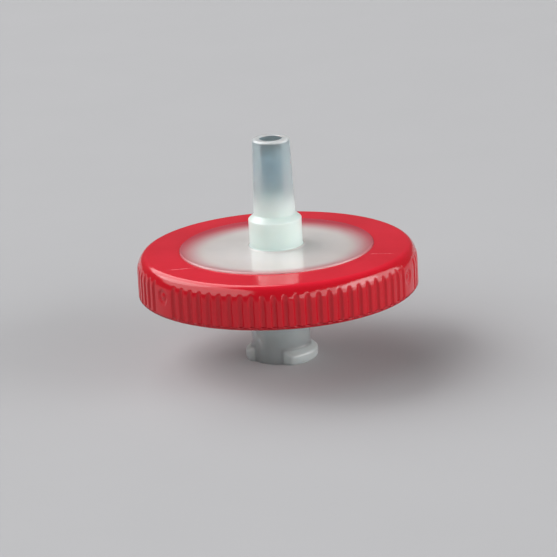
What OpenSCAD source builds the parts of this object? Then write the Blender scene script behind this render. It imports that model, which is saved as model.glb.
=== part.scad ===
// Disc syringe filter with an overmoulded grip ring.
// Millimetres. The origin is the centre of the inlet's mouth, which the
// filter stands on, and +Z runs with the flow to the tip of the outlet.
// The two housing halves clamp the membrane between their rims, and the
// grip ring is moulded round both rims and holds the stack together.

/* [Membrane] */
// Diameter of the membrane, which sets the size of the whole disc
membrane_d = 25; // [13:1:50]
// Thickness of the membrane
membrane_t = 0.2; // [0.1:0.02:0.3]
// Gap between the edge of the membrane and the weld lip round it
membrane_gap = 0.15; // [0.05:0.05:0.25]
// Width of the membrane's edge that the rims clamp
clamp_w = 1.3; // [0.8:0.1:1.6]

/* [Grip ring] */
// Wall of the ring outside the rims of the housing
ring_wall = 1.6; // [1.2:0.1:2.4]
// Width of the ring's flanges over the rims
flange_w = 3; // [2.4:0.1:3.4]
// Height of the grip ring, which is also the height of the disc
ring_h = 4.9; // [4.6:0.1:6]
// Radius of the rounded upper shoulder
shoulder_r = 2; // [1.2:0.1:2.2]
// Radius of the lower outer edge
toe_r = 0.4; // [0.2:0.05:0.6]
// Fall of the ring's faces towards the windows, in degrees
crown_angle = 6.6; // [3:0.2:8]
// Thickness of those flanges, measured from the ring's crest
flange_t = 1.3; // [1.1:0.05:1.4]

/* [Grip grooves] */
// Number of groove positions round the ring
groove_count = 80; // [60:1:90]
// Width of one groove where it meets the ring's side
groove_w = 0.65; // [0.4:0.05:0.75]
// Depth of one groove
groove_depth = 0.22; // [0.12:0.02:0.3]
// Plain band left below the grooves
groove_land = 0.3; // [0.2:0.05:0.8]
// Number of plain gate pads
pad_count = 3; // [1:1:4]
// Angle that one pad takes, in degrees
pad_angle = 9; // [6:0.5:14]
// Direction of the first pad, in degrees
pad_start = 96; // [0:1:119]
// Diameter of the sunk gate mark in the middle of a pad
gate_d = 1.4; // [1:0.1:1.8]
// Depth of the gate mark
gate_depth = 0.2; // [0.1:0.05:0.3]
// Diameter of the gate's stub in the mark
gate_stub_d = 0.6; // [0.3:0.05:0.8]
// Height of the gate's stub
gate_stub_h = 0.15; // [0.05:0.05:0.2]

/* [Housing] */
// Width of the weld lip that closes the rims round the membrane
weld_lip_w = 0.75; // [0.5:0.05:1]
// Wall of the raised plates
plate_t = 1.2; // [0.9:0.05:1.5]
// Radius on the edge of the raised plates
plate_edge_r = 0.15; // [0.05:0.05:0.2]
// Fillet where a tube meets its plate
root_fillet = 0.3; // [0.1:0.05:0.6]
// Depth of the space on each side of the membrane, near its clamped edge
chamber_depth = 0.5; // [0.3:0.05:0.7]

/* [Outlet] */
// Diameter of the boss on the outlet plate
boss_d = 5.68; // [5.4:0.02:6.4]
// Height of the boss over the plate
boss_h = 3; // [2:0.1:4]
// Height of the sloped step from the boss to the taper
boss_slope_h = 0.55; // [0.3:0.05:0.8]
// Diameter of the male taper at its tip
tip_d = 3.96; // [3.9:0.01:4]
// Length of the male taper over the boss, sloped step included
taper_len = 8.75; // [7.5:0.25:10]
// Radius on the outer edge of the tip
tip_edge_r = 0.3; // [0.1:0.05:0.4]
// Diameter of the outlet's flow bore
outlet_bore_d = 2.3; // [1.6:0.1:2.5]

/* [Inlet] */
// Depth of the female taper
socket_depth = 7.5; // [7.2:0.05:10]
// Length of the inlet tube past the end of the taper, up to the disc
neck_over = 0.1; // [0.1:0.1:1]
// Outer diameter of the inlet tube
neck_d = 6.3; // [6.1:0.05:6.6]
// Diameter of the female taper at its mouth
mouth_d = 4.29; // [4.27:0.005:4.315]
// Diameter of the inlet's flow bore
inlet_bore_d = 2; // [1.4:0.1:2.4]
// Diameter over the two locking lugs
lug_d = 7.78; // [7.73:0.01:7.83]
// Width of the lugs across their straight sides
lug_w = 5.5; // [4.5:0.1:5.8]
// Height of a lug's outer face
lug_face_h = 1; // [0.7:0.05:1.2]
// Height of the sloped flank over that face
lug_flank_h = 0.6; // [0.4:0.05:0.8]
// Bevel under a lug's outer face
lug_bevel = 0.2; // [0.1:0.05:0.3]
// Corner radius of a lug seen from below
lug_corner_r = 0.8; // [0.4:0.1:1.2]
// Direction of the lugs, in degrees
lug_turn = 150; // [0:1:179]

/* [Ribs inside] */
// Distance between the round ribs that carry the membrane
rib_pitch = 2; // [1.6:0.1:2.6]
// Width of a round rib
rib_w = 0.5; // [0.4:0.05:0.8]
// Number of radial channels that cut the round ribs, in pairs
channel_pairs = 4; // [2:1:6]
// Width of a radial channel
channel_w = 0.8; // [0.5:0.1:1.2]
// Number of fins on the inlet side
fin_count = 12; // [6:1:16]
// Width of a fin
fin_w = 0.6; // [0.4:0.05:0.8]
// Gap between the fins and the membrane
fin_gap = 0.15; // [0.1:0.05:0.3]

/* [Hidden] */

$fn = 96;
eps = 0.01;

// Radius lost for each millimetre along a 6 % conical fitting
taper = 0.03;

// Levels, from the inlet's mouth up
disc_low = socket_depth + neck_over;
disc_top = disc_low + ring_h;
disc_mid = disc_low + ring_h / 2;
rim_low = disc_low + flange_t;
rim_top = disc_top - flange_t;
membrane_low = disc_mid - membrane_t / 2;
membrane_top = disc_mid + membrane_t / 2;
boss_top = disc_top + boss_h;
tip_top = boss_top + taper_len;

// Radii
chamber_r = membrane_d / 2 - clamp_w;
weld_lip_r = membrane_d / 2 + membrane_gap;
rim_r = weld_lip_r + weld_lip_w;
ring_r = rim_r + ring_wall;
window_r = rim_r - flange_w;
crest_r = ring_r - shoulder_r;
shoulder_z = disc_top - shoulder_r;
well_r = window_r - plate_t;
well_depth = ring_h / 2 - membrane_t / 2 - plate_t;
groove_r = (groove_w * groove_w / 4 + groove_depth * groove_depth) / (2 * groove_depth);
groove_step = 360 / groove_count;
pad_step = 360 / pad_count;

// Distance in degrees from a direction to the nearest pad
function pad_distance(a) =
    let (turned = (a - pad_start) % pad_step, wrapped = (turned + pad_step) % pad_step)
    min(wrapped, pad_step - wrapped);

// Material that fills an inside corner at the origin, towards +x +y
module corner_fill(r) {
    difference() {
        square(r);
        translate([r, r]) circle(r);
    }
}

// Waste outside a rounded corner whose centre is the origin, towards +x +y
module corner_waste(r) {
    difference() {
        square(r + eps);
        circle(r);
    }
}

// Half section of the ring, with its crowned faces, shoulder and toe
module ring_section() {
    slope = tan(crown_angle);
    tangent_r = crest_r - shoulder_r * sin(crown_angle);
    tangent_z = shoulder_z + shoulder_r * cos(crown_angle);
    fall = (tangent_r - window_r) * slope;
    difference() {
        union() {
            polygon([
                [window_r, disc_low + fall],
                [tangent_r, disc_low],
                [ring_r - toe_r, disc_low],
                [ring_r, disc_low + toe_r],
                [ring_r, shoulder_z],
                [crest_r, shoulder_z],
                [tangent_r, tangent_z],
                [window_r, tangent_z - fall]
            ]);
            translate([crest_r, shoulder_z]) circle(shoulder_r);
            translate([ring_r - toe_r, disc_low + toe_r]) circle(toe_r);
        }
        translate([0, rim_low]) square([rim_r, rim_top - rim_low]);
    }
}

// One upright groove, open through the shoulder and stopped over the toe
module groove() {
    translate([ring_r - groove_depth + groove_r, 0, disc_low + groove_land])
        cylinder(r = groove_r, h = ring_h);
}

// Round disc lying against the side of the ring at half its height
module gate_disc(d, inner_r, length) {
    translate([inner_r, 0, disc_mid]) rotate([0, 90, 0]) cylinder(d = d, h = length);
}

module grip_ring() color("crimson") {
    difference() {
        rotate_extrude() ring_section();
        for (i = [0 : groove_count - 1]) {
            a = (i + 0.5) * groove_step;
            if (pad_distance(a) > pad_angle / 2) rotate([0, 0, a]) groove();
        }
        for (i = [0 : pad_count - 1])
            rotate([0, 0, pad_start + i * pad_step])
                difference() {
                    gate_disc(gate_d, ring_r - gate_depth, 2 * gate_depth);
                    gate_disc(gate_stub_d, ring_r - 2 * gate_depth, gate_depth + gate_stub_h);
                }
    }
}

// Half section of the outlet half: rim, raised plate, boss and male taper
module outlet_section() {
    taper_base_z = boss_top + boss_slope_h;
    taper_base_r = tip_d / 2 + taper * (taper_len - boss_slope_h);
    edge_r = tip_d / 2 + tip_edge_r * (taper - sqrt(1 + taper * taper));
    edge_z = tip_top - tip_edge_r;
    edge_angle = atan(taper);
    difference() {
        union() {
            translate([0, membrane_top]) square([rim_r, rim_top - membrane_top]);
            translate([0, membrane_top]) square([window_r, disc_top - membrane_top]);
            polygon([
                [0, membrane_top],
                [boss_d / 2, membrane_top],
                [boss_d / 2, boss_top],
                [taper_base_r, taper_base_z],
                [edge_r + tip_edge_r * cos(edge_angle), edge_z + tip_edge_r * sin(edge_angle)],
                [edge_r, tip_top],
                [0, tip_top]
            ]);
            translate([edge_r, edge_z]) circle(tip_edge_r);
            translate([boss_d / 2, disc_top]) corner_fill(root_fillet);
            // Weld lip that closes round the membrane
            translate([weld_lip_r, membrane_low]) square([weld_lip_w, rim_top - membrane_low]);
        }
        translate([window_r - plate_edge_r, disc_top - plate_edge_r]) corner_waste(plate_edge_r);
    }
}

// Round ribs that the membrane lies on, cut by radial channels
module support_ribs() {
    difference() {
        for (r = [outlet_bore_d / 2 + rib_pitch / 2 : rib_pitch : chamber_r - rib_pitch / 2])
            difference() {
                cylinder(r = r + rib_w / 2, h = well_depth + eps);
                translate([0, 0, -eps]) cylinder(r = r - rib_w / 2, h = well_depth + 3 * eps);
            }
        for (i = [0 : channel_pairs - 1])
            rotate([0, 0, i * 180 / channel_pairs])
                translate([-chamber_r, -channel_w / 2, -eps])
                    cube([2 * chamber_r, channel_w, well_depth + 3 * eps]);
    }
}

module outlet_housing() color("gainsboro") {
    difference() {
        rotate_extrude() outlet_section();
        translate([0, 0, membrane_top]) difference() {
            union() {
                translate([0, 0, -eps]) cylinder(r = chamber_r, h = chamber_depth + eps);
                translate([0, 0, -eps]) cylinder(r = well_r, h = well_depth + eps);
            }
            support_ribs();
        }
        translate([0, 0, membrane_top]) cylinder(d = outlet_bore_d, h = tip_top);
    }
}

// Half section of the inlet half: rim, raised plate and tube
module inlet_section() {
    difference() {
        union() {
            translate([0, rim_low]) square([rim_r, membrane_low - rim_low]);
            translate([0, disc_low]) square([window_r, membrane_low - disc_low]);
            square([neck_d / 2, membrane_low]);
            translate([neck_d / 2, disc_low]) mirror([0, 1]) corner_fill(root_fillet);
        }
        translate([window_r - plate_edge_r, disc_low + plate_edge_r])
            mirror([0, 1]) corner_waste(plate_edge_r);
    }
}

// Outline of both lugs seen from below
module lug_outline() {
    straight = lug_w - 2 * lug_corner_r;
    corner_x = lug_d / 2 - lug_corner_r;
    intersection() {
        circle(d = lug_d);
        union() {
            square([lug_d, straight], center = true);
            square([2 * corner_x, lug_w], center = true);
            for (x = [-corner_x, corner_x], y = [-straight / 2, straight / 2])
                translate([x, y]) circle(lug_corner_r);
        }
    }
}

// The two locking lugs: one turned section, kept only under their outline
module lugs() {
    lug_r = lug_d / 2;
    intersection() {
        rotate_extrude() polygon([
            [0, 0],
            [lug_r - lug_bevel, 0],
            [lug_r, lug_bevel],
            [lug_r, lug_face_h],
            [neck_d / 2, lug_face_h + lug_flank_h],
            [0, lug_face_h + lug_flank_h]
        ]);
        rotate([0, 0, lug_turn])
            linear_extrude(height = lug_face_h + lug_flank_h) lug_outline();
    }
}

// Fins that spread the liquid over the membrane
module spreading_fins() {
    fin_start = inlet_bore_d / 2 + fin_w;
    for (i = [0 : fin_count - 1])
        rotate([0, 0, (i + 0.5) * 360 / fin_count])
            translate([fin_start, -fin_w / 2, fin_gap])
                cube([chamber_r - fin_w - fin_start, fin_w, well_depth]);
}

module inlet_housing() color("gainsboro") {
    difference() {
        union() {
            rotate_extrude() inlet_section();
            lugs();
        }
        // Space under the membrane, measured down from its face
        translate([0, 0, membrane_low]) mirror([0, 0, 1]) difference() {
            union() {
                translate([0, 0, -eps]) cylinder(r = chamber_r, h = chamber_depth + eps);
                translate([0, 0, -eps]) cylinder(r = well_r, h = well_depth + eps);
            }
            spreading_fins();
        }
        cylinder(d = inlet_bore_d, h = membrane_low);
        cylinder(d1 = mouth_d, d2 = mouth_d - 2 * taper * socket_depth, h = socket_depth);
    }
}

module membrane() color("white") {
    translate([0, 0, membrane_low]) cylinder(d = membrane_d, h = membrane_t);
}

outlet_housing();
inlet_housing();
membrane();
grip_ring();
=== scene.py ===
"""Looks of a disc syringe filter with an overmoulded grip ring.

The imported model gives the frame, in metres, with +Z along the flow. Every
surface is a closed section carried round the Z axis: a row of the grid is a
point of the section, a column is a direction round the axis, and grooves,
ribs, fins, lugs and gate marks are added to the grid as functions of both.
"""

import bpy
import numpy as np
from bpy.props import FloatProperty, FloatVectorProperty, IntProperty, PointerProperty
from bpy.types import Operator, Panel, PropertyGroup
from mathutils import Matrix, Vector


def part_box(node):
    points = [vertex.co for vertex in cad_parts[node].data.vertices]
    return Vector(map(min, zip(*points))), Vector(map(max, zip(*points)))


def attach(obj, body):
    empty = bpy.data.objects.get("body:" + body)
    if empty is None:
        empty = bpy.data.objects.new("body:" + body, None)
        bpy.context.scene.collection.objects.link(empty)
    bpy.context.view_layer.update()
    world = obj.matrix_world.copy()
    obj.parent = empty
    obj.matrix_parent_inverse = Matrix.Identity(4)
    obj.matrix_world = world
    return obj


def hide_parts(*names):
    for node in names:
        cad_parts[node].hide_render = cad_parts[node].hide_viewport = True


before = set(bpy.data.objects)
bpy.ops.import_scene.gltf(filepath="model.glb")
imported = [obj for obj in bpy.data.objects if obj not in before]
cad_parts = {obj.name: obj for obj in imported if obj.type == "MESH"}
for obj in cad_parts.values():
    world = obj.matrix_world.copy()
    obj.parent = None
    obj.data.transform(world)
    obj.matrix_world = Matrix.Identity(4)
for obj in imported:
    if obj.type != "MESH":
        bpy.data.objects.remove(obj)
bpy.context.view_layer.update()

bl_info = {
    "name": "Disc Filter",
    "version": (1, 0, 0),
    "blender": (4, 5, 0),
    "location": "3D View > Sidebar > Disc Filter",
    "description": "Builds a disc syringe filter: its two housing halves, membrane and grip ring",
    "category": "Add Mesh",
}

MM = 0.001
TURN = 2 * np.pi
PLASTIC_IOR = 1.49

RING_LOW, RING_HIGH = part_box("grip_ring")
OUTLET_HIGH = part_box("outlet_housing")[1]
INLET_LOW, INLET_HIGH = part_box("inlet_housing")
MEMBRANE_LOW, MEMBRANE_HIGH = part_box("membrane")

HOUSING_COLUMNS = 384
LEAST_SINE = 0.001

# Numbers of the corners in each section, which rounded_loop writes beside its rows.
RING_SHOULDER = 1
OUTLET_CEILING = 0
INLET_CHAMBER = 3
INLET_NECK, INLET_FOOT = 9, 10

# Where a groove's columns stand, as shares of half its width. The edge itself is at 1.
GROOVE_COLUMNS = (0, 0.4, 0.74, 0.93, 1.07, 1.3)

# Lamps: name, azimuth, elevation, width and height in degrees, and radiance.
LAMPS = (
    ("left_lamp", -80, 42, 88, 52, 2.3),
    ("left_back", -136, 46, 66, 46, 2.5),
    ("right_lamp", 62, 17, 108, 34, 2.8),
    ("right_middle", 72, 23, 38, 22, 3.8),
)
LAMP_DISTANCE = 2.5
FLOOR_ROWS, FLOOR_COLUMNS = 32, 96
SENSOR_WIDTH = 36
CLIP_NEAR, CLIP_FAR = 0.01, 10


def length(name, description, default):
    """A size in metres that a user may change."""
    return FloatProperty(
        name=name, description=description, default=default,
        subtype="DISTANCE", unit="LENGTH", precision=5,
    )


def colour(name, description, default):
    """A colour in linear light."""
    return FloatVectorProperty(
        name=name, description=description, default=default,
        size=3, min=0, max=1, subtype="COLOR",
    )


def angle(name, description, degrees):
    """An angle, given in degrees and kept in radians."""
    return FloatProperty(
        name=name, description=description, default=np.radians(degrees),
        subtype="ANGLE", unit="ROTATION",
    )


def count(name, description, default):
    """A number of like features."""
    return IntProperty(name=name, description=description, default=default, min=1)


def number(name, description, default):
    """A plain number."""
    return FloatProperty(name=name, description=description, default=default)


class RingSettings(PropertyGroup):
    """Sizes and colours of the grip ring."""

    crest_radius: length("Crest radius", "Radius of the upper part of the shoulder", 0.95 * MM)
    shoulder_radius: length("Shoulder radius", "Radius of the lower part of the shoulder", 2.3 * MM)
    shoulder_wide: length("Shoulder width", "Width the shoulder takes off the corner", 0.65 * MM)
    shoulder_drop: length("Shoulder drop", "Height the shoulder takes off the corner", 1.1 * MM)
    crest_fall: length("Crest fall", "Drop of the shoulder under the plates' top", 0.27 * MM)
    face_fall: length("Face fall", "Height a face loses from window to shoulder", 0.11 * MM)
    toe_radius: length("Toe radius", "Radius of the lower outer edge", 0.4 * MM)
    flange_height: length("Flange height", "Thickness of the flanges at their crest", 1.3 * MM)
    lip_radius: length("Lip radius", "Radius on the lips round the windows", 0.04 * MM)
    groove_count: count("Grooves", "Groove positions round the ring", 80)
    groove_width: length("Groove width", "Width of a groove at the side of the ring", 0.65 * MM)
    groove_depth: length("Groove depth", "Depth of a groove", 0.22 * MM)
    groove_land: length("Land", "Plain band under the grooves", 0.3 * MM)
    foot_step: length("Foot step", "Half the height over which a groove ends there", 0.02 * MM)
    edge_softness: length("Edge softness", "Rounding where a groove meets the side", 0.06 * MM)
    mark_softness: length("Mark softness", "Rounding on the gate mark's edges", 0.12 * MM)
    pad_count: count("Pads", "Plain gate pads round the ring", 3)
    pad_angle: angle("Pad angle", "Angle that one pad takes", 9)
    pad_start: angle("First pad", "Direction of the first pad", 96)
    gate_diameter: length("Gate mark", "Diameter of the sunk gate mark", 1.4 * MM)
    gate_depth: length("Gate depth", "Depth of the gate mark", 0.14 * MM)
    stub_diameter: length("Gate stub", "Diameter of the stub in the gate mark", 0.6 * MM)
    stub_height: length("Stub height", "Height of the stub over the mark's floor", 0.12 * MM)
    line_height: length("Line height", "Height of the flow lines on the upper face", 0.03 * MM)
    line_width: length("Line width", "Width of a flow line", 0.13 * MM)
    left_line: angle("Left flow line", "Direction of one flow line at the window", 217.9)
    left_slant: angle("Left slant", "Turn of that line for each millimetre outwards", -2.8)
    right_line: angle("Right flow line", "Direction of the other flow line at the window", 332.9)
    right_slant: angle("Right slant", "Turn of that line for each millimetre outwards", 1.8)
    line_start: length("Line start", "How far from the window a flow line begins", 0.4 * MM)
    line_reach: length("Line reach", "How far from the window a flow line ends", 2.5 * MM)
    line_fade: length("Line fade", "Length over which a flow line comes and goes", 0.6 * MM)
    mould_gap: length("Mould gap", "Gap between the ring and the rims it holds", 0.02 * MM)
    plastic: colour("Plastic", "Colour of the ring", (0.68, 0.012, 0.032))
    plastic_deep: colour("Deep colour", "Colour inside thick sections", (0.62, 0.009, 0.026))
    # Painted highlight: a pale pink laid along the flow lines' raised ridges.
    flow_line_painted_highlight: colour("Pale colour", "Colour of the flow lines", (0.95, 0.20, 0.24))
    # Painted shade: a darker red for the grooved side, where less light falls.
    side_painted_shade: colour("Side colour", "Colour of the grooved side", (0.48, 0.003, 0.012))


class HousingSettings(PropertyGroup):
    """Sizes and colours of the two housing halves and the membrane."""

    window_radius: length("Window radius", "Radius of the raised plates", 10.4 * MM)
    plate_wall: length("Plate wall", "Thickness of the raised plates", 1.2 * MM)
    plate_edge: length("Plate edge", "Radius on the edge of a raised plate", 0.15 * MM)
    chamber_radius: length("Chamber radius", "Radius of the space beside the membrane", 11.2 * MM)
    chamber_depth: length("Chamber depth", "Depth of that space near its edge", 0.5 * MM)
    membrane_gap: length("Membrane gap", "Room round the membrane's edge", 0.15 * MM)
    root_fillet: length("Root fillet", "Fillet where a tube meets its plate", 0.3 * MM)
    break_edge: length("Broken edge", "Small radius on every other edge", 0.06 * MM)
    boss_radius: length("Boss radius", "Radius of the boss on the outlet plate", 2.84 * MM)
    boss_height: length("Boss height", "Height of the boss over the plate", 3 * MM)
    boss_slope: length("Boss slope", "Height of the sloped step on the boss", 0.55 * MM)
    tip_radius: length("Tip radius", "Radius of the male taper at its tip", 1.98 * MM)
    tip_edge: length("Tip edge", "Radius on the outer edge of the tip", 0.3 * MM)
    outlet_bore: length("Outlet bore", "Radius of the outlet's flow bore", 1.15 * MM)
    neck_radius: length("Neck radius", "Radius of the inlet tube", 3.15 * MM)
    mouth_radius: length("Mouth radius", "Radius of the female taper at its mouth", 2.145 * MM)
    socket_depth: length("Socket depth", "Depth of the female taper", 7.5 * MM)
    inlet_bore: length("Inlet bore", "Radius of the inlet's flow bore", 1 * MM)
    taper: number("Taper", "Radius lost for each unit of length", 0.03)
    lug_radius: length("Lug radius", "Radius over the locking lugs", 3.89 * MM)
    lug_width: length("Lug width", "Width of the lugs across their flats", 5.5 * MM)
    lug_face: length("Lug face", "Height of a lug's outer face", 1 * MM)
    lug_flank: length("Lug flank", "Height of the sloped flank over the face", 0.6 * MM)
    lug_bevel: length("Lug bevel", "Bevel under the outer face", 0.2 * MM)
    lug_blend: length("Lug blend", "Rounding of the lugs' corners", 0.35 * MM)
    lug_edge: length("Lug edge", "Rounding above and below the outer face", 0.1 * MM)
    lug_root: length("Lug root", "Rounding where a lug meets the tube", 0.12 * MM)
    lug_turn: angle("Lug direction", "Direction of the lugs", 150)
    rib_pitch: length("Rib pitch", "Distance between the round support ribs", 2 * MM)
    rib_width: length("Rib width", "Width of a support rib", 0.5 * MM)
    channel_arms: count("Channels", "Radial channels that cut the ribs", 8)
    channel_width: length("Channel width", "Width of a radial channel", 0.8 * MM)
    rib_slope: length("Rib slope", "Half the width of a rib's wall", 0.04 * MM)
    fin_count: count("Fins", "Fins that spread the liquid", 12)
    fin_width: length("Fin width", "Width of a fin", 0.6 * MM)
    fin_slope: length("Fin slope", "Half the width of a fin's wall", 0.05 * MM)
    fin_gap: length("Fin gap", "Gap between the fins and the membrane", 0.15 * MM)
    milky_reach: length("Milky reach", "How far up the tube the milkiness goes", 4.8 * MM)
    # Height over which the painted shade of the bore comes in.
    bore_shade_reach: length("Bore reach", "How far up the bore its tint takes to be full", 4.5 * MM)
    milky: colour("Milky plastic", "Colour of the thick, milky boss", (0.73, 0.86, 0.81))
    plate_middle: colour("Plate, middle", "Plates' colour near the tubes", (0.80, 0.75, 0.735))
    plate_outside: colour("Plate, outside", "Plates' colour near the ring", (0.76, 0.69, 0.67))
    clear_low: colour("Tube, low", "Tint of the outlet's tube near the boss", (0.86, 0.92, 0.94))
    clear_high: colour("Tube, high", "Tint of the outlet's tube near its tip", (0.74, 0.90, 0.93))
    clear_neck: colour("Neck", "Tint of the inlet's tube", (0.88, 0.97, 0.96))
    lug_tint: colour("Lugs", "Colour of the locking lugs", (0.68, 0.74, 0.73))
    socket_tint: colour("Socket", "Tint of the walls of the female taper", (0.62, 0.70, 0.71))
    # Painted shade: the flow bore's walls are tinted dark, nearly black at the tip, for the shade
    # inside the bore.
    bore_painted_shade: colour("Bore", "Tint of the walls of the flow bore", (0.40, 0.55, 0.62))
    bore_mouth_painted_shade: colour("Bore mouth", "Tint of those walls at the tip", (0.12, 0.16, 0.17))
    # Partly the frosted end faces' own colour, partly a painted highlight: a lighter tint along the
    # tubes' end edges.
    end_tint_and_highlight: colour("End faces", "Colour of the tubes' end faces", (0.84, 0.94, 0.93))
    # Partly the ring's red seen through the translucent plates, partly painted light: a red glow
    # and reflection of the ring painted into the plates' edges, reaching further in on the +Y side.
    painted_red_glow: colour("Blush", "Ring colour seen through the plates' edges", (0.60, 0.045, 0.08))
    painted_glow_width: length("Blush width", "Reach of that coloured edge inwards", 3 * MM)
    painted_glow_shift: length("Blush shift", "How far that coloured edge lies off the axis", 1.5 * MM)
    painted_glow_lip: length("Blush lip", "Reach of the paler tint at the plates' rim", 1.5 * MM)
    membrane: colour("Membrane", "Colour of the membrane", (0.86, 0.86, 0.84))


class StageSettings(PropertyGroup):
    """Floor, light and camera."""

    floor_radius: length("Floor radius", "Radius of the floor", 2.0)
    floor_shown: colour("Floor", "Colour of the floor as it is seen", (0.42, 0.42, 0.43))
    floor_bounce: colour("Floor bounce", "Floor's colour for thrown-back light", (0.38, 0.38, 0.38))
    sky_light: number("Fill", "Radiance of the fill light from all round", 0.12)
    camera_lens: number("Lens", "Focal length in millimetres", 192.9)
    camera_distance: length("Camera distance", "From the camera to the point it looks at", 0.32)
    camera_tilt: angle("Camera height", "Elevation of the camera", 16.84)
    camera_roll: angle("Camera roll", "Turn of the camera about its own axis", -3.1)
    camera_aside: length("Aim aside", "Sideways place of the point looked at", 0.04 * MM)
    camera_aim: length("Aim height", "Height of the point looked at", 8.703 * MM)


def rounded_loop(corners):
    """Closed section with rounded corners, as rows of (radius, height, corner number).

    Each corner is (radius, height, fillet, fillet steps, steps to the next corner). A fillet
    touches both sides at fillet / tan(half the corner's angle) from the corner, and its arc is
    the centre plus both end directions, mixed by sines of the part of the angle. Steps along
    a side are placed by a cosine, so they crowd towards its ends.
    """
    places = np.array([c[:2] for c in corners], float)
    before = np.roll(places, 1, axis=0) - places
    after = np.roll(places, -1, axis=0) - places
    before /= np.linalg.norm(before, axis=1)[:, None]
    after /= np.linalg.norm(after, axis=1)[:, None]
    half = np.arccos(np.clip((before * after).sum(axis=1), -1, 1)) / 2
    arcs = []
    for corner, place, back, on, bend in zip(corners, places, before, after, half):
        fillet, steps = corner[2:4]
        if fillet <= 0:
            arcs.append(place[None])
            continue
        reach = fillet / np.tan(bend)
        inward = back + on
        centre = place + inward / np.linalg.norm(inward) * fillet / np.sin(bend)
        first, last = place + back * reach - centre, place + on * reach - centre
        span = np.pi - 2 * bend
        part = np.linspace(0, 1, steps + 1)[:, None]
        mix = np.sin((1 - part) * span) * first + np.sin(part * span) * last
        arcs.append(centre + mix / np.sin(span))
    rows, numbers = [], []
    for place, (corner, arc) in enumerate(zip(corners, arcs)):
        goal = arcs[(place + 1) % len(arcs)][0]
        part = (1 - np.cos(np.linspace(0, np.pi, corner[4] + 1)))[1:-1, None] / 2
        side = arc[-1] + (goal - arc[-1]) * part
        rows.append(np.vstack([arc, side]))
        numbers.append(np.full(len(arc) + len(side), place))
    section = np.vstack(rows)
    return np.column_stack([section, np.concatenate(numbers)])


def soft_min(a, b, blend):
    """The smaller of two values, rounded off over blend where they are nearly the same."""
    near = np.maximum(blend - np.abs(a - b), 0) / blend
    return np.minimum(a, b) - near * near * blend / 4


def soft_max(a, b, blend):
    """The larger of two values, rounded off over blend where they are nearly the same."""
    return -soft_min(-a, -b, blend)


def ramp(value, low, high):
    """Smooth step from 0 at low to 1 at high, by 3 t squared minus 2 t cubed."""
    part = np.clip((value - low) / (high - low), 0, 1)
    return part * part * (3 - 2 * part)


def wrapped(angles, period):
    """Angles brought between minus and plus half a period."""
    return (angles + period / 2) % period - period / 2


def spread(section, turn):
    """Radii and heights of a section's rows, the same at every direction of turn."""
    radius = np.repeat(section[:, :1], turn.size, axis=1)
    height = np.repeat(section[:, 1:2], turn.size, axis=1)
    return radius, height


def revolved(name, radius, height, turn):
    """Closed mesh of a grid of radii and heights (rows) at the directions turn (columns).

    A point is (radius cos turn, radius sin turn, height). Rows and columns both close on
    themselves. If the volume, a third of the sum of each triangle's point times its area
    vector, comes out negative, the faces are turned round to point outwards.
    """
    rows, columns = radius.shape
    points = np.stack([radius * np.cos(turn), radius * np.sin(turn), height], axis=2).reshape(-1, 3)
    index = np.arange(rows * columns).reshape(rows, columns)
    down = np.roll(index, -1, axis=0)
    loops = [index, np.roll(index, -1, axis=1), np.roll(down, -1, axis=1), down]
    quads = np.stack(loops, axis=2).reshape(-1, 4)
    a, b, c, d = (points[quads[:, i]] for i in range(4))
    volume = np.einsum("ij,ij->", a, np.cross(b, c)) + np.einsum("ij,ij->", a, np.cross(c, d))
    if volume < 0:
        quads = quads[:, ::-1]
    mesh = bpy.data.meshes.new(name)
    mesh.vertices.add(len(points))
    mesh.vertices.foreach_set("co", points.ravel())
    mesh.loops.add(quads.size)
    mesh.loops.foreach_set("vertex_index", quads.ravel())
    mesh.polygons.add(len(quads))
    mesh.polygons.foreach_set("loop_start", np.arange(0, quads.size, 4))
    mesh.polygons.foreach_set("use_smooth", np.ones(len(quads), bool))
    mesh.update(calc_edges=True)
    mesh.validate()
    piece = bpy.data.objects.new(name, mesh)
    bpy.context.scene.collection.objects.link(piece)
    return piece


def finished(piece, material, node):
    """Gives a piece its material, puts it under the root body, and lets it stand for its CAD node
    by hiding that node.
    """
    piece.data.materials.append(material)
    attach(piece, "root")
    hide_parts(node)


# Grip ring

def ring_section(ring, window):
    """Section of the ring: flat faces, shoulder, toe, and the channel that holds the rims."""
    outer, low, high = RING_HIGH.x, RING_LOW.z, RING_HIGH.z - ring.crest_fall
    foot, step = low + ring.groove_land, ring.foot_step
    lip, rim = ring.lip_radius, OUTLET_HIGH.x + ring.mould_gap
    thick = ring.flange_height - ring.mould_gap
    rim_low, rim_high = low + thick, RING_HIGH.z - thick
    return rounded_loop([
        (window, high + ring.face_fall, lip, 3, 12),
        (outer - ring.shoulder_wide, high, ring.crest_radius, 16, 2),
        (outer, high - ring.shoulder_drop, ring.shoulder_radius, 12, 16),
        (outer, foot + step, 0, 0, 1),
        (outer, foot - step, 0, 0, 2),
        (outer, low, ring.toe_radius, 6, 7),
        (window, low + ring.crest_fall - ring.face_fall, lip, 3, 2),
        (window, rim_low, 0, 0, 2),
        (rim, rim_low, 0, 0, 2),
        (rim, rim_high, 0, 0, 2),
        (window, rim_high, 0, 0, 2),
    ])


def groove_columns(ring):
    """Directions of the columns: in each groove's turn they crowd round the groove's two edges."""
    half_turn = np.pi / ring.groove_count
    edge = ring.groove_width / 2 / RING_HIGH.x / half_turn
    steps = np.array(GROOVE_COLUMNS) * edge
    one = np.concatenate([[-1], -steps[:0:-1], steps])
    turns = (np.arange(ring.groove_count)[:, None] * 2 + 1 + one) * half_turn
    return turns.ravel()


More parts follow.
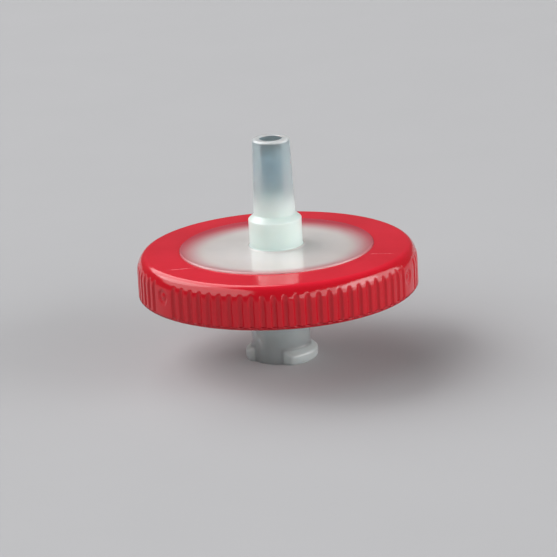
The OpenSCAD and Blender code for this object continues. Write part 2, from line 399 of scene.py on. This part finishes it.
def grooved(ring, radius, height, turn):
    """Ring radius with its grooves cut.

    A groove is an upright cylinder of radius q whose axis stands at c from the ring's axis. At
    the angle a from its middle its wall lies at c cos a - sqrt(q q - c c sin a sin a). The ring
    keeps the smaller of that and its own radius, and the grooves fade out over the land.
    """
    half, depth, outer = ring.groove_width / 2, ring.groove_depth, RING_HIGH.x
    q = (half * half + depth * depth) / (2 * depth)
    c = outer - depth + q
    step = TURN / ring.groove_count
    a = wrapped(turn - step / 2, step)
    inside = q * q - (c * np.sin(a)) ** 2
    wall = np.where(inside > 0, c * np.cos(a) - np.sqrt(np.maximum(inside, 0)), 2 * outer)
    centre = (np.round((turn - step / 2 - a) / step) + 0.5) * step
    to_pad = np.abs(wrapped(centre - ring.pad_start, TURN / ring.pad_count))
    wall = np.where(to_pad > ring.pad_angle / 2, wall, 2 * outer)
    foot = RING_LOW.z + ring.groove_land
    open_part = ramp(height, foot - ring.foot_step, foot + ring.foot_step)
    return radius - open_part * (radius - soft_min(radius, wall, ring.edge_softness))


def gate_marks(ring, height, turn):
    """Radial height of the gate marks: a sunk round floor with a stub in its middle."""
    middle = (RING_LOW.z + RING_HIGH.z) / 2
    across = wrapped(turn - ring.pad_start, TURN / ring.pad_count) * RING_HIGH.x
    away = np.hypot(across, height - middle)
    soft = ring.mark_softness
    mark, stub = ring.gate_diameter / 2, ring.stub_diameter / 2
    sunk = 1 - ramp(away, mark - soft, mark + soft)
    raised = 1 - ramp(away, stub - soft, stub + soft)
    return raised * ring.stub_height - sunk * ring.gate_depth


def flow_lines(ring, radius, turn, window):
    """Height of the flow lines over the upper face: a bell curve across each slanting line."""
    outwards = radius - window
    height = 0
    for start, slant in ((ring.left_line, ring.left_slant), (ring.right_line, ring.right_slant)):
        across = wrapped(turn - start - slant * outwards / MM, TURN) * radius
        height = height + np.exp(-((across / ring.line_width) ** 2))
    begun = ramp(outwards, ring.line_start, ring.line_start + ring.line_fade)
    ended = ramp(outwards, ring.line_reach, ring.line_reach + ring.line_fade)
    return ring.line_height * height * begun * (1 - ended)


def build_ring(settings):
    """Grip ring: the section carried round, with grooves, gate marks and flow lines on it."""
    ring = settings.ring
    window = settings.housing.window_radius + ring.mould_gap / 4
    section = ring_section(ring, window)
    turn = groove_columns(ring)[None]
    radius, height = spread(section, turn)
    outside = radius > RING_HIGH.x - ring.groove_depth - ring.toe_radius
    grooved_radius = grooved(ring, radius, height, turn)
    upper = (section[:, 2:] <= RING_SHOULDER) & (radius > window)
    height = height + upper * flow_lines(ring, radius, turn, window)
    radius = np.where(outside, grooved_radius + gate_marks(ring, height, turn), radius)
    piece = revolved("grip_ring_moulding", radius, height, turn)
    finished(piece, ring_plastic(ring, window), "grip_ring")


# Housing halves

def outlet_section(house, flange):
    """Section of the outlet half, from the bore outwards, round the rim and up to the tip."""
    floor = MEMBRANE_HIGH.z
    top = RING_HIGH.z
    rim, rim_top = OUTLET_HIGH.x, RING_HIGH.z - flange
    well = house.window_radius - house.plate_wall
    ceiling = top - house.plate_wall
    boss_top = top + house.boss_height
    tip = OUTLET_HIGH.z
    slope_top = boss_top + house.boss_slope
    root = house.tip_radius + house.taper * (tip - slope_top)
    small = house.break_edge
    lip = MEMBRANE_HIGH.x + house.membrane_gap
    return rounded_loop([
        (house.outlet_bore, ceiling, 0, 0, 33),
        (well, ceiling, 0, 0, 3),
        (well, floor + house.chamber_depth, 0, 0, 5),
        (house.chamber_radius, floor + house.chamber_depth, 0, 0, 3),
        (house.chamber_radius, floor, 0, 0, 3),
        (lip, floor, 0, 0, 2),
        (lip, MEMBRANE_LOW.z, 0, 0, 2),
        (rim, MEMBRANE_LOW.z, small, 2, 3),
        (rim, rim_top, small, 2, 5),
        (house.window_radius, rim_top, small, 2, 4),
        (house.window_radius, top, house.plate_edge, 5, 16),
        (house.boss_radius, top, house.root_fillet, 7, 9),
        (house.boss_radius, boss_top, 2 * small, 4, 3),
        (root, slope_top, 2 * small, 4, 18),
        (house.tip_radius, tip, house.tip_edge, 8, 3),
        (house.outlet_bore, tip, 2 * small, 4, 16),
    ])


def rib_rows(house, section):
    """Moves the ceiling's rows to the edges of the round ribs, so that each wall is steep."""
    ceiling = section[:, 2] == OUTLET_CEILING
    first = house.outlet_bore + house.rib_pitch / 2
    last = house.chamber_radius - house.rib_pitch / 2
    centres = np.arange(first, last, house.rib_pitch)
    half, edge = house.rib_width / 2, house.rib_slope
    sides = np.array([-half - edge, -half + edge, half - edge, half + edge])
    wanted = (centres[:, None] + sides).ravel()
    well = house.window_radius - house.plate_wall
    wanted = wanted[(wanted > house.outlet_bore) & (wanted < well - edge)]
    spare = ceiling.sum() - 1 - len(wanted)
    between = np.linspace(house.outlet_bore, well, spare + 2)[1:-1]
    rows = np.sort(np.concatenate([[house.outlet_bore], wanted, between]))
    section[ceiling, 0] = rows
    return centres


def support_ribs(house, centres, radius, turn):
    """Height of the round ribs over the ceiling, cut by straight radial channels."""
    edge = house.rib_slope
    away = np.abs(radius[..., None] - centres).min(axis=-1)
    rib = 1 - ramp(away, house.rib_width / 2 - edge, house.rib_width / 2 + edge)
    aside = np.abs(radius * np.sin(wrapped(turn, TURN / house.channel_arms)))
    return rib * ramp(aside, house.channel_width / 2 - edge, house.channel_width / 2 + edge)


def build_outlet(settings):
    """Outlet half: rim, raised plate, boss and male taper, with support ribs inside."""
    house = settings.housing
    section = outlet_section(house, settings.ring.flange_height)
    centres = rib_rows(house, section)
    turn = np.linspace(0, TURN, HOUSING_COLUMNS, endpoint=False)[None]
    radius, height = spread(section, turn)
    ceiling = section[:, 2:] == OUTLET_CEILING
    deep = RING_HIGH.z - house.plate_wall - MEMBRANE_HIGH.z
    height = height - ceiling * deep * support_ribs(house, centres, radius, turn)
    piece = revolved("outlet_half", radius, height, turn)
    finished(piece, housing_plastic(settings), "outlet_housing")


def inlet_section(house, flange):
    """Section of the inlet half, from the bore outwards under the membrane, and down the tube."""
    face = MEMBRANE_LOW.z
    low = RING_LOW.z
    rim, rim_low = INLET_HIGH.x, RING_LOW.z + flange
    well = house.window_radius - house.plate_wall
    floor = low + house.plate_wall
    small = house.break_edge
    end = house.mouth_radius - house.taper * house.socket_depth
    return rounded_loop([
        (house.inlet_bore, floor, 0, 0, 20),
        (well, floor, 0, 0, 3),
        (well, face - house.chamber_depth, 0, 0, 5),
        (house.chamber_radius, face - house.chamber_depth, 0, 0, 3),
        (house.chamber_radius, face, 0, 0, 6),
        (rim, face, small, 2, 3),
        (rim, rim_low, small, 2, 5),
        (house.window_radius, rim_low, small, 2, 4),
        (house.window_radius, low, house.plate_edge, 5, 16),
        (house.neck_radius, low, house.root_fillet, 7, 56),
        (house.neck_radius, INLET_LOW.z, small, 3, 4),
        (house.mouth_radius, INLET_LOW.z, 2 * small, 4, 14),
        (end, INLET_LOW.z + house.socket_depth, small, 2, 3),
        (house.inlet_bore, INLET_LOW.z + house.socket_depth, small, 2, 4),
    ])


def lug_radius(house, height, turn):
    """Radius over the tube and its two lugs.

    Round the axis a lug is the smaller of its turned outline and a bar with straight flats, half
    the width over sin a, and the tube's own radius is the least. Up the tube the outline is a
    bevel, an upright face and a flank that slopes back to the tube.
    """
    a = wrapped(turn - house.lug_turn, np.pi)
    flat = house.lug_width / 2 / np.maximum(np.abs(np.sin(a)), LEAST_SINE)
    reach = house.lug_radius - house.neck_radius
    flank = house.lug_radius - (height - house.lug_face) * reach / house.lug_flank
    bevel = house.lug_radius - house.lug_bevel + height
    outline = soft_min(flank, bevel, house.lug_edge)
    outline = soft_min(outline, house.lug_radius, house.lug_edge)
    return soft_max(soft_min(outline, flat, house.lug_blend), house.neck_radius, house.lug_root)


def spreading_fins(house, radius, turn):
    """Share of their full height that the radial fins reach at a point."""
    edge = house.fin_slope
    step = TURN / house.fin_count
    aside = np.abs(radius * np.sin(wrapped(turn - step / 2, step)))
    start = house.inlet_bore + house.fin_width
    end = house.chamber_radius - house.fin_width
    across = 1 - ramp(aside, house.fin_width / 2 - edge, house.fin_width / 2 + edge)
    begun = ramp(radius, start - edge, start + edge)
    ended = ramp(radius, end - edge, end + edge)
    return across * begun * (1 - ended)


def build_inlet(settings):
    """Inlet half: rim, raised plate and tube with two locking lugs, and the fins inside."""
    house = settings.housing
    section = inlet_section(house, settings.ring.flange_height)
    turn = np.linspace(0, TURN, HOUSING_COLUMNS, endpoint=False)[None]
    radius, height = spread(section, turn)
    corner = section[:, 2:]
    low = height < house.lug_face + house.lug_flank + 2 * house.lug_edge
    tube = ((corner == INLET_NECK) | (corner == INLET_FOOT)) & low
    outer = tube & (radius > house.neck_radius - 2 * house.break_edge)
    lugs = lug_radius(house, height, turn) - house.neck_radius
    radius = radius + outer * np.maximum(lugs, 0)
    inside = corner <= INLET_CHAMBER
    deep = MEMBRANE_LOW.z - house.fin_gap - height
    height = height + inside * np.maximum(deep, 0) * spreading_fins(house, radius, turn)
    piece = revolved("inlet_half", radius, height, turn)
    finished(piece, housing_plastic(settings), "inlet_housing")


# Materials

GRAIN_ROUGHNESS = 0.55
RING_ROUGHNESS = (0.10, 0.14)
TUBE_ROUGHNESS, PLATE_ROUGHNESS = 0.28, 0.13

# Share of the light that the housing lets through, where it is clear and where it is milky.
CLEAR, MILKY = 0.88, 0.15

# How milky the tubes' end faces, the lugs beside them and the inlet's tube are.
END_FROST, LUG_FROST, NECK_HAZE = 0.6, 0.85, 0.22
# Share of the painted red glow of the ring at the very rim of the plates.
LIP_PAINTED_GLOW = 0.6


class Nodes:
    """Short way to add and join shader nodes in a new material."""

    def __init__(self, name):
        self.material = bpy.data.materials.new(name)
        self.material.use_nodes = True
        self.tree = self.material.node_tree
        self.shader = self.tree.nodes["Principled BSDF"]
        self.coordinates = self.add("ShaderNodeTexCoord")

    def add(self, kind, **settings):
        """A new node, with its settings."""
        node = self.tree.nodes.new(kind)
        for key, value in settings.items():
            setattr(node, key, value)
        return node

    def join(self, source, target):
        """Joins an output socket to an input socket."""
        self.tree.links.new(source, target)

    def place(self):
        """Object coordinates, in metres."""
        return self.coordinates.outputs["Object"]

    def noise(self, scale, detail):
        """Noise on the object's own coordinates, with scale cells to the metre."""
        node = self.add("ShaderNodeTexNoise")
        node.inputs["Scale"].default_value = scale
        node.inputs["Detail"].default_value = detail
        node.inputs["Roughness"].default_value = GRAIN_ROUGHNESS
        self.join(self.place(), node.inputs["Vector"])
        return node.outputs["Fac"]

    def mapped(self, value, low, high, to_low=0.0, to_high=1.0):
        """A value carried from one range to another, smoothly and clamped."""
        node = self.add("ShaderNodeMapRange", interpolation_type="SMOOTHSTEP")
        node.inputs["From Min"].default_value = low
        node.inputs["From Max"].default_value = high
        node.inputs["To Min"].default_value = to_low
        node.inputs["To Max"].default_value = to_high
        self.join(value, node.inputs["Value"])
        return node.outputs["Result"]

    def mixed(self, share, first, second):
        """Two colours mixed by a share. Either may be a socket or a plain colour."""
        node = self.add("ShaderNodeMix", data_type="RGBA")
        self.join(share, node.inputs["Factor"])
        for socket, value in ((node.inputs["A"], first), (node.inputs["B"], second)):
            if isinstance(value, bpy.types.NodeSocket):
                self.join(value, socket)
            else:
                socket.default_value = (*value, 1)
        return node.outputs["Result"]

    def calculated(self, operation, first, second):
        """Sum, product or other step on two values, sockets or numbers."""
        node = self.add("ShaderNodeMath", operation=operation, use_clamp=False)
        for socket, value in zip(node.inputs, (first, second)):
            if isinstance(value, bpy.types.NodeSocket):
                self.join(value, socket)
            else:
                socket.default_value = value
        return node.outputs["Value"]

    def product(self, first, *others):
        """Several values multiplied together."""
        for other in others:
            first = self.calculated("MULTIPLY", first, other)
        return first

    def axes(self, aside=0.0):
        """Distance from an upright axis that stands aside along -Y, and height, in metres."""
        split = self.add("ShaderNodeSeparateXYZ")
        self.join(self.place(), split.inputs["Vector"])
        x, y, z = (split.outputs[k] for k in "XYZ")
        y = self.calculated("ADD", y, aside)
        squares = self.calculated("ADD", self.product(x, x), self.product(y, y))
        return self.calculated("SQRT", squares, 0.0), z

    def bump(self, height, distance):
        """Bump from a height, joined to the shader's normal."""
        node = self.add("ShaderNodeBump")
        node.inputs["Distance"].default_value = distance
        self.join(height, node.inputs["Height"])
        self.join(node.outputs["Normal"], self.shader.inputs["Normal"])


def flow_line_highlight(n, ring, window, start, slant):
    """Share of the painted highlight on a flow line: full on the slanting line that leaves the
    window at start.
    """
    radius, z = n.axes()
    split = n.add("ShaderNodeSeparateXYZ")
    n.join(n.place(), split.inputs["Vector"])
    turn = n.calculated("ARCTAN2", split.outputs["Y"], split.outputs["X"])
    outwards = n.calculated("SUBTRACT", radius, window)
    slanted = n.product(outwards, slant / MM)
    turned = n.calculated("ADD", wrapped(start, TURN), slanted)
    across = n.product(n.calculated("SUBTRACT", turn, turned), radius)
    across = n.calculated("ABSOLUTE", across, 0.0)
    near = n.mapped(across, ring.line_width, 0.3 * ring.line_width)
    begun = n.mapped(outwards, ring.line_start, ring.line_start + ring.line_fade)
    lasting = n.mapped(outwards, ring.line_reach + ring.line_fade, ring.line_reach)
    on_face = n.mapped(z, RING_HIGH.z - MM, RING_HIGH.z - 0.7 * MM)
    broken = n.mapped(n.noise(scale=900, detail=2), 0.4, 0.6, 0.3, 1.0)
    return n.product(near, begun, lasting, on_face, broken)


def ring_plastic(ring, window):
    """Glossy moulded plastic in a deep red, faintly clouded, with a fine moulded texture; its
    grooved side is painted a darker red as shade, and its flow lines a pale pink as their
    highlight.
    """
    n = Nodes("ring_plastic")
    cloud = n.mapped(n.noise(scale=180, detail=3), 0.25, 0.75)
    # Painted shade: the outer millimetre of the ring, its grooved side, is mixed towards the darker
    # red.
    side = n.mapped(n.axes()[0], RING_HIGH.x - MM, RING_HIGH.x - ring.groove_depth)
    face = n.mixed(cloud, ring.plastic_deep, ring.plastic)
    # Painted highlight along each flow line, over its raised ridge.
    for start, slant in ((ring.left_line, ring.left_slant), (ring.right_line, ring.right_slant)):
        share = flow_line_highlight(n, ring, window, start, slant)
        face = n.mixed(share, face, ring.flow_line_painted_highlight)
    n.join(n.mixed(side, face, ring.side_painted_shade), n.shader.inputs["Base Color"])
    grain = n.noise(scale=500, detail=3)
    n.join(n.mapped(grain, 0.3, 0.7, *RING_ROUGHNESS), n.shader.inputs["Roughness"])
    n.bump(n.noise(scale=500, detail=2), 0.0015 * MM)
    n.shader.inputs["IOR"].default_value = PLASTIC_IOR
    n.shader.inputs["Subsurface Weight"].default_value = 0.12
    n.shader.inputs["Subsurface Radius"].default_value = (1.0, 0.12, 0.12)
    n.shader.inputs["Subsurface Scale"].default_value = 0.5 * MM
    return n.material


def housing_zones(n, house):
    """Shares, from 0 to 1, of the zones of the housing at a point, by its radius and height.

    Each zone is a product of smooth steps across its borders.
    """
    radius, z = n.axes()
    boss_top, tip = RING_HIGH.z + house.boss_height, OUTLET_HIGH.z
    disc = n.mapped(z, RING_LOW.z - 0.4 * MM, RING_LOW.z)
    past_boss = n.mapped(radius, house.boss_radius + 0.02 * MM, house.boss_radius + 0.15 * MM)
    near_bore = n.mapped(radius, house.outlet_bore + 0.06 * MM, house.outlet_bore + 0.02 * MM)
    # Zone of the bore's painted shade: its walls, coming in above the boss.
    bore = n.product(near_bore, n.mapped(z, boss_top, boss_top + house.bore_shade_reach))
    near_tip = n.mapped(z, tip - 0.35 * MM, tip - 0.05 * MM)
    past_neck = n.mapped(radius, house.neck_radius + 0.02 * MM, house.neck_radius + 0.2 * MM)
    below = n.mapped(z, RING_LOW.z - MM, RING_LOW.z - 2 * MM)
    near_end = n.mapped(z, 0.2 * MM, 0.03 * MM)
    past_mouth = n.mapped(radius, house.mouth_radius, house.mouth_radius + 0.1 * MM)
    return {
        "disc": disc,
        "plate": n.product(past_boss, disc),
        "boss": n.product(n.mapped(z, boss_top + house.milky_reach, boss_top), disc),
        "bore": bore,
        "tip_face": n.product(near_tip, n.calculated("SUBTRACT", 1.0, bore)),
        "lugs": n.product(past_neck, below),
        "end_face": n.product(near_end, past_mouth, below),
        "socket": n.mapped(radius, house.mouth_radius + 0.1 * MM, house.mouth_radius + 0.03 * MM),
    }


def housing_colour(n, house, zones):
    """Colour of the housing: a tint for each zone, with painted shade in the outlet's bore, a
    painted highlight along the tubes' end edges, and at the plates' edges the ring's red, partly
    seen through the plates and partly a painted glow, wider on the +Y side.
    """
    radius, z = n.axes()
    boss_top, tip, window = RING_HIGH.z + house.boss_height, OUTLET_HIGH.z, house.window_radius
    tube = n.mixed(n.mapped(z, boss_top + MM, tip - 2 * MM), house.clear_low, house.clear_high)
    # Painted shade in the bore: dark walls, darkest at the tip.
    bore = n.mixed(n.mapped(z, tip - 2.2 * MM, tip - 0.4 * MM), house.bore_painted_shade, house.bore_mouth_painted_shade)
    tube = n.mixed(zones["tip_face"], n.mixed(zones["bore"], tube, bore), house.end_tint_and_highlight)
    neck = n.mixed(zones["socket"], house.clear_neck, house.socket_tint)
    # Painted highlight: the lowest 0.2 mm of the inlet's tube, its end edge, is tinted lighter than
    # the lugs.
    neck = n.mixed(zones["end_face"], n.mixed(zones["lugs"], neck, house.lug_tint), house.end_tint_and_highlight)
    tube = n.mixed(zones["disc"], neck, tube)
    plate = n.mixed(n.mapped(radius, 5 * MM, 9 * MM), house.plate_middle, house.plate_outside)
    # Painted red glow: measured from an axis moved towards -Y, so it reaches further in on the +Y
    # side.
    leaning = n.axes(house.painted_glow_shift)[0]
    edge = n.mapped(leaning, window - house.painted_glow_width, window + 0.6 * MM)
    lip = n.mapped(radius, window - house.painted_glow_lip, window, 0.0, LIP_PAINTED_GLOW)
    painted_red_glow = n.product(n.calculated("MAXIMUM", edge, lip), zones["plate"])
    base = n.mixed(zones["plate"], n.mixed(zones["boss"], tube, house.milky), plate)
    return n.mixed(painted_red_glow, base, house.painted_red_glow)


def housing_plastic(settings):
    """Natural polypropylene: thin tubes let light through, and thick sections turn milky."""
    house = settings.housing
    n = Nodes("housing_plastic")
    zones = housing_zones(n, house)
    n.join(housing_colour(n, house, zones), n.shader.inputs["Base Color"])
    frosted = n.calculated("MAXIMUM", zones["tip_face"], zones["end_face"])
    frosted = n.calculated("MAXIMUM", frosted, n.product(zones["lugs"], LUG_FROST))
    frosted = n.mapped(frosted, 0.0, 1.0, 0.0, END_FROST)
    haze = n.mapped(zones["disc"], 1.0, 0.0, 0.0, NECK_HAZE)
    frosted = n.calculated("MAXIMUM", frosted, haze)
    thick = n.calculated("MAXIMUM", zones["plate"], zones["boss"])
    milky = n.calculated("MAXIMUM", thick, frosted)
    cloud = n.mapped(n.noise(scale=250, detail=3), 0.3, 0.7, -0.02, 0.02)
    through = n.calculated("ADD", n.mapped(milky, 0.0, 1.0, CLEAR, MILKY), cloud)
    n.join(through, n.shader.inputs["Transmission Weight"])
    roughness = n.mapped(zones["plate"], 0.0, 1.0, TUBE_ROUGHNESS, PLATE_ROUGHNESS)
    n.join(roughness, n.shader.inputs["Roughness"])
    n.bump(n.noise(scale=400, detail=2), 0.001 * MM)
    n.shader.inputs["Coat Weight"].default_value = 0.35
    n.shader.inputs["Coat Roughness"].default_value = 0.25
    n.shader.inputs["IOR"].default_value = PLASTIC_IOR
    n.shader.inputs["Subsurface Weight"].default_value = 1.0
    n.shader.inputs["Subsurface Radius"].default_value = (1.0, 0.95, 0.9)
    n.shader.inputs["Subsurface Scale"].default_value = 2.0 * MM
    return n.material


def membrane_sheet(house):
    """Matt white porous sheet."""
    n = Nodes("membrane_sheet")
    pores = n.noise(scale=9000, detail=4)
    share = n.mapped(pores, 0.35, 0.65)
    darker = tuple(0.93 * v for v in house.membrane)
    n.join(n.mixed(share, darker, tuple(house.membrane)), n.shader.inputs["Base Color"])
    n.shader.inputs["Roughness"].default_value = 0.85
    n.shader.inputs["IOR"].default_value = PLASTIC_IOR
    n.bump(pores, 0.01 * MM)
    return n.material


# Stage

def floor_material(stage):
    """Plain pale floor, which shows one colour and throws a slightly darker one back as light."""
    n = Nodes("floor")
    path = n.add("ShaderNodeLightPath")
    seen = n.calculated("MAXIMUM", path.outputs["Is Camera Ray"], path.outputs["Is Glossy Ray"])
    seen = n.calculated("MAXIMUM", seen, path.outputs["Is Transmission Ray"])
    grain = n.mapped(n.noise(scale=60, detail=2), 0.2, 0.8)
    shown = n.mixed(grain, tuple(0.985 * v for v in stage.floor_shown), tuple(stage.floor_shown))
    n.join(n.mixed(seen, tuple(stage.floor_bounce), shown), n.shader.inputs["Base Color"])
    n.shader.inputs["Roughness"].default_value = 0.9
    n.shader.inputs["Specular IOR Level"].default_value = 0.1
    return n.material


def build_floor(stage):
    """Round floor under the part: radii grow by squares from the middle, so near rows are close."""
    part = np.linspace(0, 1, FLOOR_ROWS + 1)[1:]
    radius = stage.floor_radius * part * part
    turn = np.linspace(0, TURN, FLOOR_COLUMNS, endpoint=False)
    ring_x, ring_y = np.outer(radius, np.cos(turn)), np.outer(radius, np.sin(turn))
    points = np.stack([ring_x, ring_y, np.zeros_like(ring_x)], axis=2).reshape(-1, 3)
    index = np.arange(len(points)).reshape(len(radius), len(turn))
    on = np.roll(index, -1, axis=1)
    quads = np.stack([index[:-1], index[1:], on[1:], on[:-1]], axis=2).reshape(-1, 4)
    centre = len(points)
    points = np.vstack([points, [0, 0, 0]])
    fan = np.stack([np.full(len(turn), centre), index[0], on[0]], axis=1)
    mesh = bpy.data.meshes.new("floor")
    mesh.from_pydata(points.tolist(), [], quads.tolist() + fan.tolist())
    floor = bpy.data.objects.new("floor", mesh)
    bpy.context.scene.collection.objects.link(floor)
    mesh.materials.append(floor_material(stage))


def soft_box(name, azimuth, elevation, wide, high, radiance):
    """Area lamp that shows as wide by high, in degrees, from the part.

    It stands at azimuth degrees to the right of the camera's side and elevation degrees up. A
    lamp of power P and area A has the radiance P / (pi A).
    """
    a, e = np.radians(azimuth), np.radians(elevation)
    towards = Vector((np.sin(a) * np.cos(e), -np.cos(a) * np.cos(e), np.sin(e)))
    lamp = bpy.data.lights.new(name, "AREA")
    lamp.shape = "ELLIPSE"
    lamp.size = 2 * LAMP_DISTANCE * np.tan(np.radians(wide / 2))
    lamp.size_y = 2 * LAMP_DISTANCE * np.tan(np.radians(high / 2))
    lamp.energy = radiance * np.pi * np.pi / 4 * lamp.size * lamp.size_y
    box = bpy.data.objects.new(name, lamp)
    box.location = towards * LAMP_DISTANCE
    box.rotation_euler = towards.to_track_quat("Z", "Y").to_euler()
    box.visible_camera = False
    bpy.context.scene.collection.objects.link(box)


def build_world(stage):
    """Dim, even fill light from all round."""
    world = bpy.data.worlds.new("studio")
    world.use_nodes = True
    fill = world.node_tree.nodes["Background"]
    fill.inputs["Color"].default_value = (1, 1, 1, 1)
    fill.inputs["Strength"].default_value = stage.sky_light
    bpy.context.scene.world = world


def build_camera(stage):
    """Camera that looks along +Y and down, turned a little about its own axis."""
    data = bpy.data.cameras.new("camera")
    data.lens = stage.camera_lens
    data.sensor_width = SENSOR_WIDTH
    data.clip_start, data.clip_end = CLIP_NEAR, CLIP_FAR
    camera = bpy.data.objects.new("camera", data)
    tilt, roll = stage.camera_tilt, stage.camera_roll
    ahead = Vector((0, np.cos(tilt), -np.sin(tilt)))
    right = Vector((1, 0, 0))
    up = right.cross(ahead)
    across = right * np.cos(roll) + up * np.sin(roll)
    above = up * np.cos(roll) - right * np.sin(roll)
    turned = Matrix((across, above, -ahead)).transposed().to_4x4()
    aim = Vector((stage.camera_aside, 0, stage.camera_aim))
    camera.matrix_world = Matrix.Translation(aim - ahead * stage.camera_distance) @ turned
    bpy.context.scene.collection.objects.link(camera)
    bpy.context.scene.camera = camera


# Add-on

class DiscFilterSettings(PropertyGroup):
    """All settings of the add-on."""

    ring: PointerProperty(type=RingSettings)
    housing: PointerProperty(type=HousingSettings)
    stage: PointerProperty(type=StageSettings)


class DISCFILTER_OT_grip_ring(Operator):
    """Build the grooved grip ring"""

    bl_idname = "disc_filter.grip_ring"
    bl_label = "Grip Ring"

    def execute(self, context):
        build_ring(context.scene.disc_filter)
        return {"FINISHED"}


class DISCFILTER_OT_outlet_half(Operator):
    """Build the outlet half of the housing"""

    bl_idname = "disc_filter.outlet_half"
    bl_label = "Outlet Half"

    def execute(self, context):
        build_outlet(context.scene.disc_filter)
        return {"FINISHED"}


class DISCFILTER_OT_inlet_half(Operator):
    """Build the inlet half of the housing"""

    bl_idname = "disc_filter.inlet_half"
    bl_label = "Inlet Half"

    def execute(self, context):
        build_inlet(context.scene.disc_filter)
        return {"FINISHED"}


class DISCFILTER_OT_membrane(Operator):
    """Give the membrane its finish"""

    bl_idname = "disc_filter.membrane"
    bl_label = "Membrane"

    def execute(self, context):
        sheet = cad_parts["membrane"]
        sheet.data.materials.clear()
        sheet.data.materials.append(membrane_sheet(context.scene.disc_filter.housing))
        return {"FINISHED"}


class DISCFILTER_OT_stage(Operator):
    """Build the floor, the lamps, the world and the camera"""

    bl_idname = "disc_filter.stage"
    bl_label = "Stage"

    def execute(self, context):
        stage = context.scene.disc_filter.stage
        build_floor(stage)
        for lamp in LAMPS:
            soft_box(*lamp)
        build_world(stage)
        build_camera(stage)
        context.scene.view_settings.view_transform = "Standard"
        return {"FINISHED"}


STEPS = (
    DISCFILTER_OT_grip_ring,
    DISCFILTER_OT_outlet_half,
    DISCFILTER_OT_inlet_half,
    DISCFILTER_OT_membrane,
    DISCFILTER_OT_stage,
)


class DISCFILTER_PT_panel(Panel):
    """Buttons for the pieces, in the order of building"""

    bl_idname = "DISCFILTER_PT_panel"
    bl_label = "Disc Filter"
    bl_space_type = "VIEW_3D"
    bl_region_type = "UI"
    bl_category = "Disc Filter"

    def draw(self, context):
        for step in STEPS:
            self.layout.operator(step.bl_idname)


CLASSES = (
    RingSettings,
    HousingSettings,
    StageSettings,
    DiscFilterSettings,
    *STEPS,
    DISCFILTER_PT_panel,
)


def register():
    for one in CLASSES:
        bpy.utils.register_class(one)
    bpy.types.Scene.disc_filter = PointerProperty(type=DiscFilterSettings)


def unregister():
    del bpy.types.Scene.disc_filter
    for one in reversed(CLASSES):
        bpy.utils.unregister_class(one)


def main():
    register()
    bpy.ops.disc_filter.grip_ring()
    bpy.ops.disc_filter.outlet_half()
    bpy.ops.disc_filter.inlet_half()
    bpy.ops.disc_filter.membrane()
    bpy.ops.disc_filter.stage()


if __name__ == "__main__":
    main()
